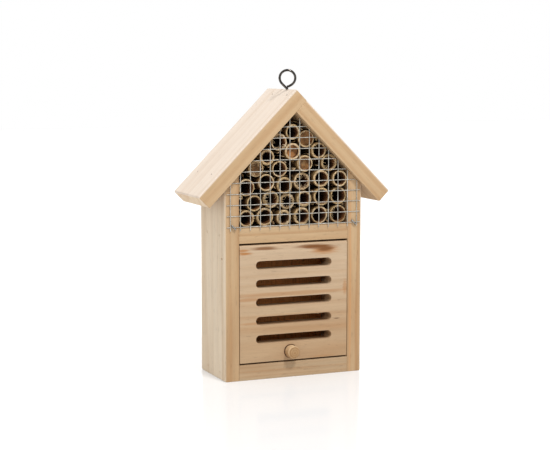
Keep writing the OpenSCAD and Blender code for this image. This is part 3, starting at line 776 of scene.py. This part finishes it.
STAPLE_WIRE, STAPLE_BEND = 0.001, 0.0007
staple_zinc = drawn_steel("staple steel", swatch(168, 168, 166), 0.3)
legs = []
for low, high in solids("mesh_staples"):
    inset = STAPLE_WIRE / 2
    left, right = low.x + inset, high.x - inset
    upper, lower = high.z - inset, low.z + inset
    front, deep = low.y + inset, high.y
    legs.append([(left, deep, upper), (left, front, upper), (right, front, lower), (right, deep, lower)])
wire.make("staples", lines("staples", legs), "house", "galvanised_wire", ["mesh_staples"],
          Radius=STAPLE_WIRE / 2, Corner=STAPLE_BEND, Step=0.0003, Wave=0.0, Sides=12, Material=staple_zinc)


# ---------------------------------------------------------------------------
# Hanging eye. One length of steel wire bent into a ring and screwed into the
# ridge, with a dark nickel plating. Its free end stops beside the neck.
# ---------------------------------------------------------------------------

nickel = Finish("dark nickel", Metallic=1.0, Coat_Weight=0.8, Coat_Roughness=0.08)
place = nickel.place()
film = nickel.noise(place, 420.0, 3.0)
nickel.feed(Base_Color=nickel.blend(swatch(72, 64, 56), swatch(30, 27, 24), film.step(0.35, 0.65)),
            Roughness=0.12 + film * 0.16)
nickel.relief(film, 0.08, 0.00005)

EYE_WIRE = 0.0019
RING_MEAN = 0.00595                 # from the ring's middle to the middle of its wire
TWIST = math.radians(-20)           # how far the ring was left turned from square to the front
FREE_END = math.radians(-62)        # where the ring begins, beside the neck
low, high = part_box("hanging_eye")
eye_y = (low.y + high.y) / 2
ring_z = high.z - EYE_WIRE / 2 - RING_MEAN
leave = math.pi + math.asin(RING_MEAN / (ring_z - ridge))
path = [(-0.0004, ring_z - RING_MEAN - 0.0006), (0.0010, ring_z - RING_MEAN - 0.0004)]
for k in range(49):
    a = FREE_END + (leave - FREE_END) * k / 48
    path.append((RING_MEAN * math.cos(a), ring_z + RING_MEAN * math.sin(a)))
path += [(0.0, ridge), (0.0, low.z)]
eye_path = [(x * math.cos(TWIST), eye_y + x * math.sin(TWIST), z) for x, z in path]
wire.make("screw_eye", lines("screw_eye", [eye_path]), "house", "dark_nickel", ["hanging_eye"],
          Radius=EYE_WIRE / 2, Corner=0.0012, Step=0.0004, Wave=0.0, Sides=20, Material=nickel.material)


# ---------------------------------------------------------------------------
# Door. One pine board with level grain and five routed slots. It swings on
# the two pins and hangs shut by its own weight.
# ---------------------------------------------------------------------------

RESIN = swatch(118, 74, 38)
AMBER = swatch(166, 110, 56)
KNOT = swatch(70, 40, 20)
DOOR_CREAM = swatch(190, 167, 140)
door_low, door_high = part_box("door_panel")
top, face = door_high.z, door_low.y
door_pine = pine("door pine", LEVEL, (0.0, 0.004, 0.012), ring=0.0068, contrast=0.4, streaks=[
    ((0.025, face, top - 0.0062), 0.013, 0.0038, AMBER, 0.75),
    ((0.017, face, top - 0.0034), 0.018, 0.0021, RESIN, 1.0),
    ((0.026, face, top - 0.0054), 0.008, 0.0022, RESIN, 0.95),
    ((-0.024, face, top - 0.0030), 0.013, 0.0015, RESIN, 0.85),
    ((-0.041, face, top - 0.0062), 0.007, 0.0014, AMBER, 0.9),
    ((-0.042, face, top - 0.0038), 0.006, 0.0011, AMBER, 0.8),
    ((0.0, face, top - 0.0275), 0.040, 0.0012, AMBER, 0.18),
    ((0.0, face, top - 0.0385), 0.050, 0.0016, AMBER, 0.35),
    ((-0.036, face, top - 0.0415), 0.014, 0.0014, AMBER, 0.45),
    ((-0.034, face, top - 0.060), 0.016, 0.0010, AMBER, 0.35),
    ((0.036, face, top - 0.0604), 0.0035, 0.0007, KNOT, 0.8),
    ((0.043, face, top - 0.036), 0.002, 0.006, AMBER, 0.5),
    ((0.022, face, top - 0.089), 0.018, 0.0012, AMBER, 0.3)],
    pale_skin=(UPRIGHT, top, 0.085, DOOR_CREAM, 1.0), pale=swatch(180, 151, 118))
sanded("flap_door", "door_panel", "door", door_pine, 0.0003)

# Fibres that the router tore out of the upper edge of the fourth slot, which is the second from below
SLOT_LOW, SLOT_PITCH, SLOT_HALF = 0.0176, 0.0142, 0.0032
FRAY_START, FRAY_STEP, FRAY_COUNT = 0.0172, 0.00034, 24
torn_edge = door_low.z + SLOT_LOW + SLOT_PITCH + SLOT_HALF
fray = Shape("Torn edge", Length="Float", Material="Material")
shred = fray.node("GeometryNodeMeshCone", None, {
    "Vertices": 5, "Side Segments": 2, "Radius Top": 0.00003, "Radius Bottom": 0.00022,
    "Depth": fray.size("Length")})
hang = fray.node("FunctionNodeRandomValue", {"data_type": "FLOAT_VECTOR"},
                 {0: (2.6, -0.5, -0.5), 1: (3.5, 0.5, 0.5), "Seed": 4}, 0)
bulk = fray.node("FunctionNodeRandomValue", {"data_type": "FLOAT_VECTOR"},
                 {0: (0.7, 0.7, 0.35), 1: (1.7, 1.7, 1.0), "Seed": 9}, 0)
fray.finish(fray.node("GeometryNodeInstanceOnPoints", None, {
    "Points": Signal(fray, fray.ins.outputs["Geometry"]), "Instance": shred,
    "Rotation": fray.node("FunctionNodeEulerToRotation", None, {0: hang}), "Scale": bulk}))
spots = bpy.data.meshes.new("slot_fray")
spots.from_pydata([(FRAY_START + k * FRAY_STEP, face + 0.0004 + 0.0011 * (k % 3), torn_edge + 0.0002)
                   for k in range(FRAY_COUNT)], [], [])
fray.make("slot_fray", spots, "door", "pine", [], Length=0.0015, Material=door_pine)


# ---------------------------------------------------------------------------
# Knob. A short length of beech dowel with a rounded end, glued into a blind
# hole in the door, with a dark ring of painted shade round it.
# ---------------------------------------------------------------------------

low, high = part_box("door_knob")
knob_x, knob_z = (low.x + high.x) / 2, (low.z + high.z) / 2
knob_round = (high.z - low.z) / 2
beech = pine("dowel beech", (0, 1, 0), (knob_x + 0.0008, 0.0, knob_z - 0.0006), ring=0.0016,
             pale=swatch(198, 168, 130), dark=swatch(150, 108, 66), contrast=0.8)
sanded("dowel_knob", "door_knob", "door", beech, 0.0004)

# A dark brown ring round the dowel, most of it up and to the left: painted shade in the gap at the dowel's
# foot
glue = Finish("hide glue", Specular_IOR_Level=0.3)
ring_mottle = glue.noise(glue.place(), 700.0, 2.0)
glue.feed(Base_Color=glue.blend(swatch(92, 58, 30), swatch(58, 34, 16), ring_mottle.step(0.35, 0.65)),
          Roughness=0.4 + ring_mottle * 0.3)
SHADE_RING_THICK = 0.0004
shade_ring_line = [(knob_x - SHADE_RING_THICK + knob_round * math.cos(k * math.pi / 18), face - SHADE_RING_THICK * 0.3,
              knob_z + SHADE_RING_THICK * 0.8 + knob_round * math.sin(k * math.pi / 18)) for k in range(37)]
wire.make("knob_glue", lines("knob_glue", [shade_ring_line]), "door", None, [], Radius=SHADE_RING_THICK, Corner=0.0,
          Step=0.0006, Wave=0.0003, Sides=8, Material=glue.material)


# ---------------------------------------------------------------------------
# Where it is shown: a pale floor that glows a little, as painted light, a main
# light above the front, softer ones above, at the left and behind, and a camera
# a little to the left of the front and slightly above.
# ---------------------------------------------------------------------------

# Painted light on the floor: it glows, to wash out the shadows cast on it, and its colour goes from grey
# near the piece to white far off
NEAR_GREY, FAR_GREY = (0.5, 0.5, 0.5, 1.0), (0.95, 0.95, 0.95, 1.0)
FLOOR_REACH, FLOOR_Z = 4, -0.00005
pale = Finish("pale floor", Roughness=0.12, Specular_IOR_Level=0.15,
              Emission_Color=(1.0, 1.0, 1.0, 1.0), Emission_Strength=0.34)
pale.feed(Base_Color=pale.blend(NEAR_GREY, FAR_GREY, pale.place().length().step(0.22, 0.8)))
corners = [(x * FLOOR_REACH, y * FLOOR_REACH, FLOOR_Z) for x, y in ((-1, -1), (1, -1), (1, 1), (-1, 1))]
mesh = bpy.data.meshes.new("floor")
mesh.from_pydata(corners, [], [(0, 1, 2, 3)])
mesh.materials.append(pale.material)
ground = placed("floor", mesh)

# The studio's walls look white, and light the piece a little less brightly than they look
world = bpy.data.worlds.new("studio")
bpy.context.scene.world = world
world.use_nodes = True
room_light = Plan(world.node_tree)
straight = room_light.node("ShaderNodeLightPath", None, None, "Is Camera Ray")
backdrop = world.node_tree.nodes["Background"]
backdrop.inputs["Color"].default_value = (1.0, 1.0, 1.0, 1.0)
room_light.join(straight * 0.32 + 0.68, backdrop.inputs["Strength"])
bpy.context.scene.view_settings.view_transform = "Standard"


def softbox(name, at, toward, width, power):
    """A square soft light, aimed at a place and not seen itself."""
    light = bpy.data.lights.new(name, "AREA")
    light.size, light.energy = width, power
    lamp = bpy.data.objects.new(name, light)
    bpy.context.scene.collection.objects.link(lamp)
    lamp.visible_camera = False
    lamp.location = at
    lamp.rotation_euler = (Vector(toward) - Vector(at)).to_track_quat("-Z", "Y").to_euler()


MIDDLE = (0.0, 0.0, 0.12)
softbox("key", (0.2, -1.2, 1.95), MIDDLE, 0.35, 33.0)
softbox("sky", (-1.0, 0.3, 1.7), MIDDLE, 1.0, 5.0)
softbox("side", (-1.6, -0.3, 0.5), MIDDLE, 1.2, 4.5)
softbox("rear", (0.8, 1.6, 1.3), MIDDLE, 2.6, 15.0)

VIEW_FROM = (-0.44309, -1.03487, 0.24085)
YAW, PITCH = math.radians(22.95), math.radians(6.403)     # turned to the right, and looking down
lens = bpy.data.cameras.new("camera")
lens.lens, lens.sensor_width = 95.37, 36.0
camera = bpy.data.objects.new("camera", lens)
bpy.context.scene.collection.objects.link(camera)
look = Vector((math.sin(YAW) * math.cos(PITCH), math.cos(YAW) * math.cos(PITCH), -math.sin(PITCH)))
camera.location = VIEW_FROM
camera.rotation_euler = look.to_track_quat("-Z", "Y").to_euler()
bpy.context.scene.camera = camera
